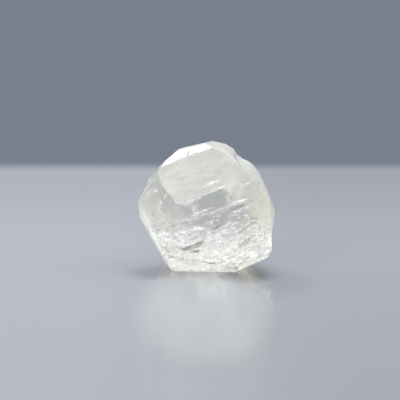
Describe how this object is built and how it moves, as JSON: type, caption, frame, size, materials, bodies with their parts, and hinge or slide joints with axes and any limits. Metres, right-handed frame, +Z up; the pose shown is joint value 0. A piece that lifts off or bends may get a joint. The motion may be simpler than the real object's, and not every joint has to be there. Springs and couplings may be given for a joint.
{
  "type": "topaz crystal",
  "caption": "Rough clear topaz crystal with flat faces, broken ledges and shell-like fractures, standing on its own flat foot as a display specimen.",
  "frame": {"origin": "point on the flat foot that the stone stands on, under the middle of the stone", "axes": "+Z up, +X to the right along the stone's widest side, -Y out of the stone's front face"},
  "size_m": [0.0221, 0.0156, 0.0203],
  "materials": {
    "topaz": "clear rough crystal, near colourless with a pale straw tint, glassy faces and frosted fractures"
  },
  "bodies": {
    "root": {"topaz_crystal": "topaz"}
  },
  "joints": []
}
